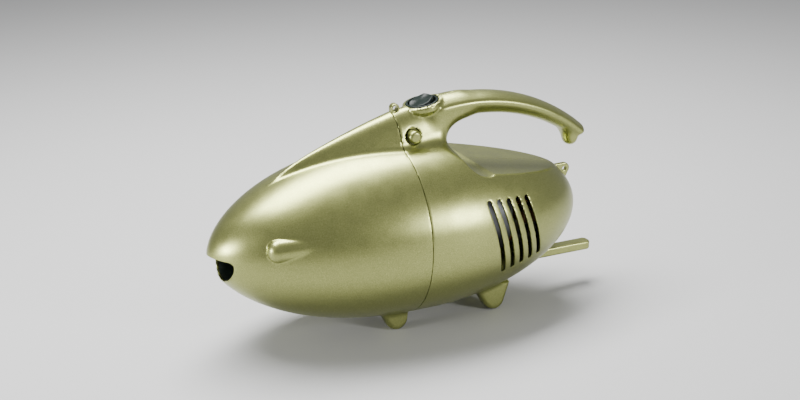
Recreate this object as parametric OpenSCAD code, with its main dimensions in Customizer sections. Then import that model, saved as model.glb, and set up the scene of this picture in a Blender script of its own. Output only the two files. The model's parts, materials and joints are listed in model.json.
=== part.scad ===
// Hand-held canister vacuum cleaner with a torpedo-shaped body.
// X runs from the nose (-X) to the tail (+X), Y is across and Z is up.
// The origin is on the floor, below the middle of the object's length.

/* [Body] */
// Height of the body's long axis above the floor
axis_z = 84.5; // [83:0.5:87]
// Radius of the body at its widest point, x = 0
body_r = 74; // [73:0.5:76]
// Length from the widest point to the nose
nose_len = 179; // [174:1:184]
// Length from the widest point to the tail
tail_len = 155.5; // [152:0.5:158]
// Wall thickness of the mouldings
wall = 2.5; // [2:0.25:3]
// Place of the joint between dust cup and motor housing
seam_x = -16.5; // [-17:0.5:-16]
// Gap left along that joint
seam_gap = 0.3; // [0.2:0.05:0.5]

/* [Handle] */
// Width of the grip
grip_w = 29; // [26:0.5:31]
// Height of the grip at its front
grip_h_front = 21.5; // [19:0.5:23]
// Height of the grip near its free end
grip_h_rear = 15.5; // [14:0.5:18]
// Radius of the arc along the top of the grip
grip_arc_r = 180.8; // [178:0.2:184]
// Radius of the front end of the finger gap
gap_r = 17.3; // [16:0.1:18]

/* [Mouth] */
// Width of the suction mouth at its widest
mouth_w = 51; // [46:1:54]
// Height of the suction mouth
mouth_h = 20; // [17:0.5:21]

/* [Outside details] */
// Number of exhaust slots on each side
slot_count = 5; // [3:1:5]
// Distance from one slot to the next
slot_pitch = 9.75; // [9:0.25:10]
// Width of a slot
slot_w = 3.75; // [2:0.25:4]
// Distance of the feet from the middle plane
foot_y = 22; // [18:1:26]
// Width of a foot
foot_w = 11; // [9:0.5:13]
// Width of the cord-wrap bar
bar_w = 11; // [9:0.5:12]
// Height of the cord-wrap bar
bar_h = 7.9; // [7:0.1:9]
// Radius of the hole in the front strap lug
front_lug_hole_r = 2.25; // [2:0.05:2.5]
// Radius of the hole in the rear strap lug
rear_lug_hole_r = 2; // [1.8:0.05:2.2]

/* [Switch and button] */
// Radius of the switch's flange
switch_r = 13.8; // [13.4:0.1:14.2]
// Tilt of the rocker each side of level
rocker_tilt = 12; // [8:1:12]
// Radius of the release button
button_r = 6; // [5.5:0.1:6.2]
// Travel of the release button
button_travel = 4; // [2:0.5:4]

/* [Motor] */
// Outer radius of the fan housing
fan_r = 44; // [42:0.5:44]
// Outer radius of the stator
stator_r = 36; // [35:0.5:37]
// Radius of the motor shaft
shaft_r = 4; // [3.5:0.25:4]
// Running clearance of every shaft and pin, on the radius
run_gap = 0.05; // [0.03:0.01:0.08]

/* [Hidden] */

gold = "#b9a76b";
black = "#1b1c1a";
steel = "#b4b7ba";
copper = "#b4652f";

// Exponents of the body's outline, ahead of and behind the widest point
nose_p = 2.41;
nose_q = 1.63;
tail_p = 1.94;
tail_q = 1.93;

// Ridge along the top of the dust cup: start, end of its fade-in, crest arc, half-widths, depth
ridge_x0 = -126;
ridge_fade_x = -90;
ridge_arc_c = [157.5, -419.8];
ridge_arc_r = 628.8;
ridge_w0 = 2;
ridge_w1 = 19;
ridge_sink = 13;

// Grip: centre of its top arc, and the angles where it starts and ends
grip_c = [48.5, 12];
grip_a0 = -9;
grip_a1 = 39;
root_w_rear = 15.5;
root_x1 = 48;

// Finger gap: centre of its round front end, and the flat scoop below it
gap_c = [49.3, 152.5];
scoop_slope = -0.168;
scoop_z0 = 142.9;
function scoop_z(x) = scoop_z0 + scoop_slope * x;

// Motor stack: places along X, then radii of the impeller, bearings, commutator and bolts
bulkhead_x = seam_x + 3;
fan_x0 = -5.5;
fan_x1 = 24;
stator_x0 = 42;
stator_x1 = 78;
rear_plate_x = 103;
bolt_z = 31;
impeller_r = 40;
front_bearing_r = 11;
rear_bearing_r = 9.5;
commutator_r = 11;
motor_bolt_r = 2;

// Switch: centre of its seat, tilt of the seat, pivot depth, radii of its opening, can and pin
switch_x = 9;
switch_z = 188.8;
switch_seat_tilt = -10.8;
pivot_depth = 3;
bezel_open_r = 11.9;
switch_can_r = 12.6;
rocker_pin_r = 1.2;

// Release button and latch
button_x = -6.4;
button_z = 165.6;
button_end_y = -21.5;

// Flap hinge, relative to the body's axis
duct_x1 = -112;
flap_pin_x = -109;
flap_pin_z = 7;
flap_pin_r = 1.5;

// Housing screws, as [x, z]: those in the body, and those in the grip with their posts' reach
body_screws = [[8, 22], [98, 34], [133, 66]];
grip_screws = [[84, 179.5], [136, 161.5]];
grip_post_reach = [12.9, 11.7];
screw_at = concat(body_screws, grip_screws);
post_r = 4;
screw_r = 1.5;
screw_head_r = 3;

// Cord gland and its hole, cord-wrap bar, and the middles of the strap lugs
gland_x = 118;
gland_r = 6;
bar_x0 = 103;
bar_x1 = 179;
bar_z0 = 29.2;
front_lug_c = [-16.15, 186.8];
front_lug_r = 3.65;
rear_lug_c = [149.7, 110.6];
rear_lug_r = 5.2;

// ---------- functions ----------

function lerp(a, b, t) = a + (b - a) * t;

// Radius of the body at x, moved inwards by inset
function body_radius(x, inset = 0) =
    let (len = (x < 0 ? nose_len : tail_len) - inset,
         p = x < 0 ? nose_p : tail_p,
         q = x < 0 ? nose_q : tail_q,
         u = min(1, abs(x) / len))
    (body_r - inset) * pow(1 - pow(u, p), 1 / q);

// Outline of the body in [radius, x] pairs, from nose to tail
function body_outline(inset) = concat(
    [for (a = [0:5:85]) let (x = -(nose_len - inset) * cos(a)) [body_radius(x, inset), x]],
    [for (a = [90:-5:0]) let (x = (tail_len - inset) * cos(a)) [body_radius(x, inset), x]]);

// Height of the crest line of ridge and root
function crest_z(x) =
    let (seam_z = ridge_arc_c[1] + sqrt(pow(ridge_arc_r, 2) - pow(seam_x - ridge_arc_c[0], 2)),
         grip_z = grip_c[1] + grip_arc_r - 1.6)
    x < seam_x
        ? ridge_arc_c[1] + sqrt(pow(ridge_arc_r, 2) - pow(x - ridge_arc_c[0], 2))
            - 9 * pow(max(0, ridge_fade_x - x) / 45, 2)
        : lerp(seam_z, grip_z, sin(90 * min(1, (x - seam_x) / (root_x1 - seam_x))));

// Half-width of ridge and root at x
function ridge_half_w(x) = x < seam_x
    ? lerp(ridge_w0, ridge_w1, (x - ridge_x0) / (seam_x - ridge_x0))
    : lerp(ridge_w1, root_w_rear, (x - seam_x) / (root_x1 - seam_x));

// One cross-section of ridge or root: half an ellipse on straight sides
function ridge_ring(x, inset, steps = 14) =
    let (zc = axis_z + body_radius(x) - ridge_sink,
         w = max(0.4, ridge_half_w(x) - inset),
         h = crest_z(x) - inset - zc)
    concat([for (i = [0:steps]) let (a = 180 * i / steps) [x, w * cos(a), zc + h * sin(a)]],
           [[x, -w, zc - 8], [x, w, zc - 8]]);

// One cross-section of the grip, at angle a from the top of its arc
function grip_ring(a, inset, shrink = 1, steps = 20) =
    let (t = (a - grip_a0) / (grip_a1 - grip_a0),
         h = (lerp(grip_h_front, grip_h_rear, t) / 2 - inset) * shrink,
         w = (lerp(grip_w, grip_w - 4, pow(max(0, t), 3)) / 2 - inset) * shrink,
         rc = grip_arc_r - lerp(grip_h_front, grip_h_rear, t) / 2)
    [for (i = [0:steps - 1])
        let (b = 360 * i / steps,
             cy = sign(cos(b)) * pow(abs(cos(b)), 0.75),
             cr = sign(sin(b)) * pow(abs(sin(b)), 0.75),
             r = rc + h * cr)
        [grip_c[0] + r * sin(a), w * cy, grip_c[1] + r * cos(a)]];

// Closed outline whose corners are rounded by quadratic curves
function rounded(corners, radii, steps = 5) =
    let (n = len(corners))
    [for (i = [0:n - 1])
        let (c = corners[i],
             before = corners[(i + n - 1) % n] - c,
             after = corners[(i + 1) % n] - c,
             p0 = c + radii[i] * before / norm(before),
             p2 = c + radii[i] * after / norm(after))
        for (k = [0:steps])
            let (t = k / steps)
            (1 - t) * (1 - t) * p0 + 2 * t * (1 - t) * c + t * t * p2];

// Outline of the mouth, seen from the front, in [y, z] from the body's axis: a straight
// upper lip 1 above the axis, and a bowl below it whose sides bow outwards
function mouth_outline(grow) =
    let (w = mouth_w / 2 + grow, h = mouth_h - 2 + grow)
    concat([[-w + 3, 1 + grow]],
           [for (a = [0:10:180]) [-w * pow(abs(cos(a)), 0.89) * sign(cos(a)), -1 - h * pow(sin(a), 0.89)]],
           [[w - 3, 1 + grow]]);

// ---------- building blocks ----------

// Solid through rings that all have the same number of points
module loft(rings) {
    n = len(rings[0]);
    m = len(rings);
    points = [for (ring = rings) each ring];
    sides = [for (j = [0:m - 2], i = [0:n - 1])
        let (k = (i + 1) % n, a = j * n, b = (j + 1) * n)
        each [[a + i, b + i, b + k], [a + i, b + k, a + k]]];
    first = [for (i = [1:n - 2]) [0, i, i + 1]];
    last = [for (i = [1:n - 2]) [(m - 1) * n, (m - 1) * n + i + 1, (m - 1) * n + i]];
    polyhedron(points, concat(sides, first, last));
}

// Solid of revolution about the body's axis, from [radius, x] points
module revolve_x(points) {
    translate([0, 0, axis_z])
        rotate([0, 90, 0])
            rotate_extrude($fn = 96) polygon(points);
}

// Disc about the body's axis
module disc_x(r, x0, x1) {
    translate([x0, 0, axis_z])
        rotate([0, 90, 0]) cylinder(r = r, h = x1 - x0, $fn = 72);
}

// Ring about the body's axis
module ring_x(r_out, r_in, x0, x1) {
    difference() {
        disc_x(r_out, x0, x1);
        disc_x(r_in, x0 - 1, x1 + 1);
    }
}

// Cylinder along X at [y, z] from the body's axis
module rod_x(r, x0, x1, y, z) {
    translate([x0, y, axis_z + z])
        rotate([0, 90, 0]) cylinder(r = r, h = x1 - x0, $fn = 32);
}

// Cylinder along Y from y0 to y1
module rod_y(r, x, z, y0, y1) {
    translate([x, y1, z])
        rotate([90, 0, 0]) cylinder(r = r, h = y1 - y0, $fn = 48);
}

// Plate parallel to the XZ plane, from an [x, z] outline
module plate_y(outline, y0, y1) {
    translate([0, y1, 0])
        rotate([90, 0, 0]) linear_extrude(y1 - y0) polygon(outline);
}

// Box given by its lowest and highest corner
module block(low, high) {
    translate(low) cube(high - low);
}

// Prism along X from an outline in [y, z] from the body's axis
module prism_x(outline, x0, x1) {
    translate([x0, 0, axis_z])
        rotate([90, 0, 90]) linear_extrude(x1 - x0) polygon(outline);
}

// Moves its children into the switch's own frame, Z out of its seat
module at_switch() {
    translate([switch_x, 0, switch_z])
        rotate([0, switch_seat_tilt, 0]) children();
}

// Everything ahead of the joint, which leans forward near the top
module ahead_of_seam(gap) {
    plate_y([[seam_x - gap, -20], [seam_x - gap, 150], [seam_x - 1 - gap, 164],
             [seam_x - 3.5 - gap, 186], [seam_x - 4.5 - gap, 215],
             [-230, 215], [-230, -20]], -120, 120);
}

// ---------- body shapes that both shells share ----------

module body_solid(inset) {
    revolve_x(body_outline(inset));
}

module ridge_solid(inset) {
    loft([for (i = [0:13]) ridge_ring(lerp(ridge_x0 + inset, seam_x - 3.5, i / 13), inset)]);
}

module root_solid(inset) {
    loft([for (i = [0:8]) ridge_ring(lerp(seam_x - 8, root_x1 - inset, i / 8), inset)]);
}

module grip_solid(inset) {
    last = grip_a1 - inset / 3;
    loft(concat(
        [for (i = [0:14]) grip_ring(lerp(grip_a0, last, i / 14), inset)],
        [grip_ring(last + 1.1, inset, 0.9), grip_ring(last + 1.8, inset, 0.68),
         grip_ring(last + 2.2, inset, 0.35)]));
}

// Space cut away for the fingers, made larger by grow on every side
module finger_gap(grow) {
    r = gap_r + grow;
    rear_x = 175;
    plate_y(concat(
        [for (a = [90:9:261]) [gap_c[0] + r * cos(a), gap_c[1] + r * sin(a)]],
        [[rear_x, scoop_z(rear_x) - grow], [rear_x, gap_c[1] + r]]), -90, 90);
}

// Foot: slanted front, steep rear and a rounded sole
module foot(root_x0, root_x1, sole_x, side) {
    top = 20;
    plate_y(rounded([[root_x0, top], [sole_x - 7, 0], [sole_x + 6, 0], [root_x1, top]], [1, 6, 6, 1]),
            side * foot_y - foot_w / 2, side * foot_y + foot_w / 2);
}

module exhaust_slots() {
    for (i = [0:slot_count - 1]) {
        top = [39 + slot_pitch * i, 115.9 - 0.8 * i];
        low = [54.8 + slot_pitch * i, 54.7 + 1.5 * i];
        lean = atan2(top[1] - low[1], top[0] - low[0]);
        plate_y(concat(
            [for (a = [-90:30:90]) top + slot_w / 2 * [cos(lean + a), sin(lean + a)]],
            [for (a = [90:30:270]) low + slot_w / 2 * [cos(lean + a), sin(lean + a)]]), -100, 100);
    }
}

// ---------- dust cup ----------

// Round-nosed lug along each side of the nose
module side_lug(side) {
    r = 8.8;
    nose_x = -145.6;
    translate([nose_x, side * 45, axis_z + 13.5])
        rotate([0, 90, 0]) rotate_extrude($fn = 48)
            polygon(concat([for (a = [0:15:90]) [r * sin(a), r - r * cos(a)]], [[r, 48], [0, 48]]));
}

module dust_cup() {
    color(gold) difference() {
        intersection() {
            union() {
                body_solid(0);
                ridge_solid(0);
                for (side = [-1, 1]) {
                    foot(-41, seam_x + 4, -25, side);
                    side_lug(side);
                }
            }
            ahead_of_seam(seam_gap / 2);
        }
        difference() {
            union() {
                body_solid(wall);
                ridge_solid(wall);
            }
            // Flange that the seal sits on
            ring_x(body_r + 10, 64.2, seam_x - 5.5, seam_x - 2.5);
        }
        // Latch arm's way in through the flange
        block([-30, -12, button_z - 5], [-10, 4, button_z + 5]);
        prism_x(mouth_outline(0), -200, -140);
    }
}

module inlet_duct() {
    // Hinge ears that stand on the duct's side walls
    ear_y = mouth_w / 2 + 1.5;
    color(black) {
        intersection() {
            difference() {
                prism_x(mouth_outline(2), -172, duct_x1);
                prism_x(mouth_outline(0), -173, duct_x1 + 1);
            }
            body_solid(wall);
        }
        for (side = [-1, 1]) difference() {
            block([duct_x1 - 2, side * ear_y - 1.4, axis_z - 2],
                  [flap_pin_x + 3, side * ear_y + 1.4, axis_z + flap_pin_z + 3]);
            rod_y(flap_pin_r, flap_pin_x, axis_z + flap_pin_z, -60, 60);
        }
    }
}

module flap_pin() {
    half = mouth_w / 2 + 3;
    color(steel) rod_y(flap_pin_r, flap_pin_x, axis_z + flap_pin_z, -half, half);
}

module inlet_flap() {
    half = mouth_w / 2 - 1.2;
    color("#4a3a34") difference() {
        union() {
            rod_y(flap_pin_r + 1.7, flap_pin_x, axis_z + flap_pin_z, -half, half);
            block([duct_x1 + 0.3, -half, axis_z - 20], [duct_x1 + 1.8, half, axis_z + flap_pin_z]);
        }
        rod_y(flap_pin_r + run_gap, flap_pin_x, axis_z + flap_pin_z, -60, 60);
    }
}

module cup_seal() {
    color("#3a3a3a") ring_x(68.6, 64.6, seam_x - 2.5, seam_x - 0.3);
}

// ---------- filter ----------

module filter_frame() {
    color("#d8d4c4") difference() {
        union() {
            ring_x(69, 47.5, seam_x, seam_x + 3);
            ring_x(50, 47.5, seam_x - 6, seam_x);
        }
        block([seam_x - 10, -14, axis_z + 66], [seam_x + 10, 14, axis_z + 80]);
    }
}

module filter_cage() {
    x0 = seam_x - 52;
    color("#d8d4c4") difference() {
        revolve_x([[0, x0], [25.4, x0], [28, x0 + 2.4], [44.5, seam_x + 3], [42.5, seam_x + 3],
                   [26, x0 + 3.2], [24.6, x0 + 2], [0, x0 + 2]]);
        for (i = [0:5]) translate([0, 0, axis_z]) rotate([60 * i, 0, 0])
            block([x0 + 6, -10, 20], [seam_x - 3, 10, 60]);
        for (i = [0:5]) translate([0, 0, axis_z]) rotate([60 * i, 0, 0])
            translate([x0 - 1, 0, 17]) rotate([0, 90, 0]) cylinder(r = 6, h = 6);
    }
}

module filter_bag() {
    x0 = seam_x - 55;
    color("#e8e4d8") revolve_x([
        [0, x0], [24, x0], [29.5, x0 + 3], [47, seam_x - 2], [47, seam_x + 3], [45.2, seam_x + 3],
        [45.2, seam_x - 2], [28.6, x0 + 4.4], [23.6, x0 + 1.6], [0, x0 + 1.6]]);
}

module bulkhead() {
    color(black) difference() {
        disc_x(70.6, bulkhead_x, bulkhead_x + 3);
        // Intake grille: one hole in the middle and two rings of holes
        rod_x(5, bulkhead_x - 1, bulkhead_x + 4, 0, 0);
        for (i = [0:7]) rod_x(3.4, bulkhead_x - 1, bulkhead_x + 4, 12 * cos(45 * i), 12 * sin(45 * i));
        for (i = [0:11]) rod_x(3.4, bulkhead_x - 1, bulkhead_x + 4, 21.5 * cos(30 * i), 21.5 * sin(30 * i));
    }
}

module motor_front_seal() {
    color("#3a3a3a") ring_x(36, 29, bulkhead_x + 3, fan_x0);
}

// ---------- motor housing ----------

// Outside of the housing, with handle and feet
module housing_outer() {
    difference() {
        union() {
            body_solid(0);
            root_solid(0);
            for (side = [-1, 1]) foot(50.5, 81.5, 69, side);
        }
        finger_gap(0);
    }
    grip_solid(0);
    hull() {
        translate([157, 0, 139.8]) sphere(r = 7.5, $fn = 20);
        translate([154, 0, 150]) sphere(r = 7, $fn = 20);
    }
    at_switch() translate([0, 0, -18]) cylinder(r = switch_r + 2.7, h = 18, $fn = 72);
}

// Hollow inside the housing and the handle
module housing_inner() {
    difference() {
        union() {
            body_solid(wall);
            root_solid(wall);
        }
        finger_gap(wall);
    }
    grip_solid(wall);
}

// Ring ribs that hold the bulkhead and the motor's rear end
module housing_ribs() {
    ring_x(body_radius(bulkhead_x, wall / 2), 66, bulkhead_x + 3, bulkhead_x + 5);
    difference() {
        ring_x(body_radius(111, wall / 2), 18.3, 108, 111);
        for (i = [0:3]) rod_x(7, 100, 120, 34 * cos(90 * i + 45), 34 * sin(90 * i + 45));
        finger_gap(wall / 2);
    }
}

// Posts that the housing screws run through
module screw_posts() {
    intersection() {
        for (at = body_screws) rod_y(post_r, at[0], at[1], -60, 60);
        body_solid(wall / 2);
    }
    for (i = [0:1]) {
        at = grip_screws[i];
        rod_y(post_r, at[0], at[1], -grip_post_reach[i], grip_post_reach[i]);
    }
}

module housing_shell() {
    difference() {
        union() {
            difference() {
                housing_outer();
                housing_inner();
            }
            housing_ribs();
            screw_posts();
            at_switch() translate([0, 0, -8]) cylinder(r = switch_r + 1, h = 7, $fn = 72);
        }
        exhaust_slots();
        ahead_of_seam(-seam_gap / 2);
        at_switch() {
            translate([0, 0, -1.2]) cylinder(r = switch_r + 0.2, h = 10, $fn = 72);
            translate([0, 0, -30]) cylinder(r = switch_can_r + 0.2, h = 35, $fn = 72);
        }
        rod_y(button_r + 0.9, button_x, button_z, -40, -8);
        screw_holes();
        bar_solid();
        front_lug_blank();
        rear_lug_blank();
        rod_y(gland_r, gland_x, axis_z, 30, 60);
    }
}

// Through holes for the screw shanks, and recesses for the heads on the right
module screw_holes() {
    for (at = screw_at) {
        rod_y(screw_r + 0.1, at[0], at[1], -8, 40);
        rod_y(screw_head_r + 0.6, at[0], at[1], screw_head_y(at), 80);
    }
}

// Where a screw's head bears: deeper in the grip, which is narrow
function screw_head_y(at) = at[1] > 150 ? 5 : 14;

module housing_half(side) {
    intersection() {
        housing_shell();
        if (side < 0) block([-60, -100, -10], [220, 0, 230]);
        else block([-60, 0, -10], [220, 100, 230]);
    }
}

module housing_left() {
    color(gold) housing_half(-1);
}

module housing_right() {
    color(gold) housing_half(1);
}

module housing_screws() {
    color(steel) for (at = screw_at) difference() {
        y = screw_head_y(at);
        union() {
            rod_y(screw_r, at[0], at[1], y - 12, y + 0.1);
            rod_y(screw_head_r, at[0], at[1], y, y + 2.2);
        }
        block([at[0] - 2, y + 1, at[1] - 0.4], [at[0] + 2, y + 3, at[1] + 0.4]);
        block([at[0] - 0.4, y + 1, at[1] - 2], [at[0] + 0.4, y + 3, at[1] + 2]);
    }
}

// Rod behind the body that the cord is wound round, with the handle's hook
module bar_solid() {
    r = bar_w / 2;
    end_x = bar_x1 - r;
    translate([0, 0, bar_z0]) linear_extrude(bar_h) polygon(concat(
        [[bar_x0, r], [bar_x0, -r]], [for (a = [-90:15:90]) [end_x + r * cos(a), r * sin(a)]]));
}

module tail_bar() {
    color(gold) bar_solid();
}

// Lug for the strap's front end, before its hole is made
module front_lug_blank() {
    plate_y(concat([[-12.5, 180], [-19.8, 180]],
                   [for (a = [180:-20:0]) front_lug_c + front_lug_r * [cos(a), sin(a)]]), -3, 3);
}

module front_strap_lug() {
    color(gold) difference() {
        front_lug_blank();
        rod_y(front_lug_hole_r, front_lug_c[0], front_lug_c[1] - 0.2, -4, 4);
    }
}

// Lug for the strap's rear end, before its hole is made
module rear_lug_blank() {
    plate_y(concat([[152, 100], [140, 96], [135, 112]],
                   [for (a = [110:-20:-50]) rear_lug_c + rear_lug_r * [cos(a), sin(a)]]),
            -1.75, 1.75);
}

module rear_strap_lug() {
    color(gold) difference() {
        rear_lug_blank();
        rod_y(rear_lug_hole_r, rear_lug_c[0], rear_lug_c[1], -4, 4);
    }
}

module cord_gland() {
    color(black) difference() {
        union() {
            rod_y(gland_r, gland_x, axis_z, 38, 56);
            rod_y(gland_r + 0.8, gland_x, axis_z, 36, 38);
        }
        rod_y(gland_r - 2.4, gland_x, axis_z, 30, 60);
    }
}

// ---------- switch ----------

module switch_body() {
    color(black) at_switch() difference() {
        union() {
            translate([0, 0, -1.2]) cylinder(r = switch_r, h = 1.8, $fn = 72);
            translate([0, 0, -16]) cylinder(r = switch_can_r, h = 15, $fn = 72);
        }
        translate([0, 0, -12]) cylinder(r = bezel_open_r, h = 20, $fn = 72);
        rod_y(rocker_pin_r, 0, -pivot_depth, -20, 20);
    }
}

module rocker_pin() {
    color(steel) at_switch() rod_y(rocker_pin_r, 0, -pivot_depth, -switch_can_r, switch_can_r);
}

// Rocker with its rear end up; it turns about the pin
module switch_rocker() {
    r = 10.5;
    color("#262826") at_switch() translate([0, 0, -pivot_depth])
        rotate([0, -rocker_tilt, 0]) difference() {
            intersection() {
                translate([0, 0, -6]) cylinder(r = r, h = 14, $fn = 72);
                plate_y([[-r, 6], [-r, -1], [-3, -5], [3, -5], [r, -1], [r, 6], [5, 4.4], [0, 4],
                         [-5, 4.4]], -r, r);
            }
            rod_y(rocker_pin_r + run_gap, 0, 0, -20, 20);
        }
}

module switch_terminals() {
    color("#c8a24a") at_switch() for (x = [-5, 0, 5])
        block([x - 0.4, -2.4, -23], [x + 0.4, 2.4, -16]);
}

// Two insulated wires from the switch to the brush gear
module power_leads() {
    r = 1.1;
    for (y = [-4, 4]) {
        path = [[13, y, 165.4], [15, y, 148], [20, y, 136], [32, y, 130], [84, y, 123.6], [96, y, 120]];
        color(y < 0 ? "#7a4a2a" : "#2a4a8a") loft([for (i = [0:len(path) - 1])
            let (run = path[min(i + 1, len(path) - 1)] - path[max(i - 1, 0)],
                 out = [-run[2], 0, run[0]] / norm([run[0], 0, run[2]]))
            [for (b = [0:45:315]) path[i] + r * cos(b) * [0, 1, 0] + r * sin(b) * out]]);
    }
}

// ---------- release button ----------

module release_button() {
    color(gold) {
        rod_y(button_r, button_x, button_z, button_end_y + 1.5, -8.5);
        rod_y(button_r - 0.8, button_x, button_z, button_end_y, button_end_y + 2);
        rod_y(button_r + 2, button_x, button_z, -10.5, -8.5);
    }
}

module latch_arm() {
    color(black) {
        block([-27, -8.5, button_z - 3], [2, -5.5, button_z + 3]);
        block([-27, -5.5, button_z - 3], [-24.5, -3, button_z + 3]);
        rod_y(1.6, button_x, button_z, -5.5, -2.5);
    }
}

module button_spring() {
    color(steel) for (i = [0:4]) translate([button_x, -5.5 + 2 * i, button_z])
        rotate([-90, 0, 0]) rotate_extrude($fn = 32) translate([2.6, 0.5]) circle(r = 0.4, $fn = 16);
}

// ---------- fan and motor ----------

module fan_housing() {
    color(steel) difference() {
        disc_x(fan_r, fan_x0, fan_x1);
        disc_x(fan_r - 1.2, fan_x0 + 1.2, fan_x1 + 1);
        disc_x(17, fan_x0 - 1, fan_x0 + 5);
    }
}

// Curved blade between two radii, as a slice of a ring off the axis
module blade(r0, r1, bend, thick, x0, x1) {
    intersection() {
        translate([0, bend, 0]) difference() {
            disc_x(bend + thick / 2, x0, x1);
            disc_x(bend - thick / 2, x0 - 1, x1 + 1);
        }
        difference() {
            disc_x(r1, x0, x1);
            disc_x(r0, x0 - 1, x1 + 1);
        }
        block([x0 - 1, -2, axis_z], [x1 + 1, r1, axis_z + r1]);
    }
}

module blade_ring(count, r0, r1, bend, thick, x0, x1) {
    for (i = [0:count - 1])
        translate([0, 0, axis_z]) rotate([360 / count * i, 0, 0]) translate([0, 0, -axis_z])
            blade(r0, r1, bend, thick, x0, x1);
}

module impeller() {
    color(steel) difference() {
        union() {
            disc_x(impeller_r, 12, 13.2);
            ring_x(impeller_r, 16, -2.2, -1);
            blade_ring(7, 14, impeller_r - 0.5, 30, 1, -1.5, 12.5);
            disc_x(8, 6, 13);
        }
        disc_x(shaft_r, -10, 20);
    }
}

module impeller_nut() {
    color(steel) translate([1.5, 0, axis_z]) rotate([0, 90, 0]) difference() {
        cylinder(r = 7, h = 4.5, $fn = 6);
        translate([0, 0, -1]) cylinder(r = shaft_r, h = 8, $fn = 48);
    }
}

module impeller_spacer() {
    color(steel) ring_x(6.5, shaft_r, 13.2, 24);
}

module diffuser() {
    color(black) {
        ring_x(fan_r - 1.2, 9, 19.5, 21);
        blade_ring(9, 26, fan_r - 1.7, 34, 1.4, 15, 19.6);
    }
}

module front_bracket() {
    color(steel) difference() {
        union() {
            disc_x(fan_r, fan_x1, fan_x1 + 2);
            disc_x(13.5, fan_x1, fan_x1 + 9);
            for (s = [-1, 1]) rod_x(4.5, fan_x1, stator_x0, 0, s * bolt_z);
        }
        disc_x(front_bearing_r, fan_x1 - 1, fan_x1 + 7);
        disc_x(8, fan_x1, fan_x1 + 12);
        for (s = [-1, 1]) rod_x(motor_bolt_r, fan_x1 - 1, stator_x0 + 1, 0, s * bolt_z);
        for (i = [0:5]) rod_x(6, fan_x1 - 1, fan_x1 + 3, 26 * cos(60 * i), 26 * sin(60 * i));
    }
}

module motor_shaft() {
    color(steel) disc_x(shaft_r, -3, 110);
}

module front_bearing() {
    color(steel) ring_x(front_bearing_r, shaft_r + run_gap, fan_x1, fan_x1 + 7);
}

module rear_bearing() {
    color(steel) ring_x(rear_bearing_r, shaft_r + run_gap, 104, 110);
}

module armature_core() {
    color("#6d6f72") difference() {
        ring_x(20.8, shaft_r, stator_x0, stator_x1);
        for (i = [0:11]) rod_x(2.3, 30, 90, 16.5 * cos(30 * i), 16.5 * sin(30 * i));
    }
}

module armature_windings() {
    color(copper) {
        revolve_x([for (a = [0:30:330]) [14 + 5 * cos(a), stator_x0 - 4 + 4 * sin(a)]]);
        revolve_x([for (a = [0:30:330]) [14 + 5 * cos(a), stator_x1 + 4 + 4 * sin(a)]]);
        for (i = [0:11])
            rod_x(2.3, stator_x0 - 2, stator_x1 + 2, 16.5 * cos(30 * i), 16.5 * sin(30 * i));
    }
}

module commutator() {
    color(copper) difference() {
        ring_x(commutator_r, shaft_r, 87, 102);
        for (i = [0:11]) translate([0, 0, axis_z]) rotate([30 * i + 15, 0, 0])
            block([86, -0.3, commutator_r - 1.5], [103, 0.3, commutator_r + 1]);
    }
}

// Laminated stack with two poles and a window on each side of a pole
module stator_core() {
    color("#6d6f72") difference() {
        disc_x(stator_r, stator_x0, stator_x1);
        disc_x(21.3, stator_x0 - 1, stator_x1 + 1);
        for (s = [-1, 1], t = [-1, 1]) {
            low = [stator_x0 - 1, s > 0 ? 17 : -25, axis_z + (t > 0 ? 14 : -23)];
            block(low, low + [stator_x1 - stator_x0 + 2, 8, 9]);
        }
        for (s = [-1, 1]) rod_x(motor_bolt_r, stator_x0 - 1, stator_x1 + 1, 0, s * bolt_z);
    }
}

module field_coils() {
    color(copper) for (t = [-1, 1]) {
        z0 = axis_z + (t > 0 ? 14.2 : -22.8);
        difference() {
            block([stator_x0 - 6, -24.8, z0], [stator_x1 + 6, 24.8, z0 + 8.6]);
            block([stator_x0 - 0.2, -17.2, z0 - 1], [stator_x1 + 0.2, 17.2, z0 + 10]);
            // Room for the armature's end turns
            disc_x(19.5, stator_x0 - 8, stator_x1 + 8);
        }
    }
}

module rear_bracket() {
    color(steel) difference() {
        union() {
            disc_x(stator_r - 1, rear_plate_x, rear_plate_x + 3);
            disc_x(12.5, rear_plate_x, rear_plate_x + 9);
            for (s = [-1, 1]) rod_x(4.5, stator_x1, rear_plate_x, 0, s * bolt_z);
        }
        disc_x(rear_bearing_r, rear_plate_x + 1, rear_plate_x + 7);
        disc_x(6, rear_plate_x - 1, rear_plate_x + 2);
        for (s = [-1, 1]) {
            rod_x(motor_bolt_r, stator_x1 - 1, rear_plate_x + 4, 0, s * bolt_z);
            rod_x(5.5, rear_plate_x - 1, rear_plate_x + 4, 19 * s, 14);
            rod_x(5.5, rear_plate_x - 1, rear_plate_x + 4, 19 * s, -14);
        }
    }
}

module motor_bolts() {
    color("#8a8d90") for (s = [-1, 1]) {
        rod_x(motor_bolt_r, fan_x1, rear_plate_x + 3, 0, s * bolt_z);
        translate([rear_plate_x + 3, 0, axis_z + s * bolt_z])
            rotate([0, 90, 0]) cylinder(r = 4, h = 1.8, $fn = 6);
    }
}

// Brass tubes that guide the brushes, on an insulating block each
module brush_holders() {
    color("#5a3a20") for (s = [-1, 1]) difference() {
        block([89, min(13 * s, 33 * s), axis_z - 5], [rear_plate_x, max(13 * s, 33 * s), axis_z + 5]);
        block([91.5, -32, axis_z - 3], [98.5, 32, axis_z + 3]);
    }
}

module carbon_brushes() {
    color("#2b2b2b") for (s = [-1, 1]) difference() {
        block([91.6, min(9 * s, 24 * s), axis_z - 2.9], [98.4, max(9 * s, 24 * s), axis_z + 2.9]);
        disc_x(commutator_r + run_gap, 85, 105);
    }
}

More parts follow.
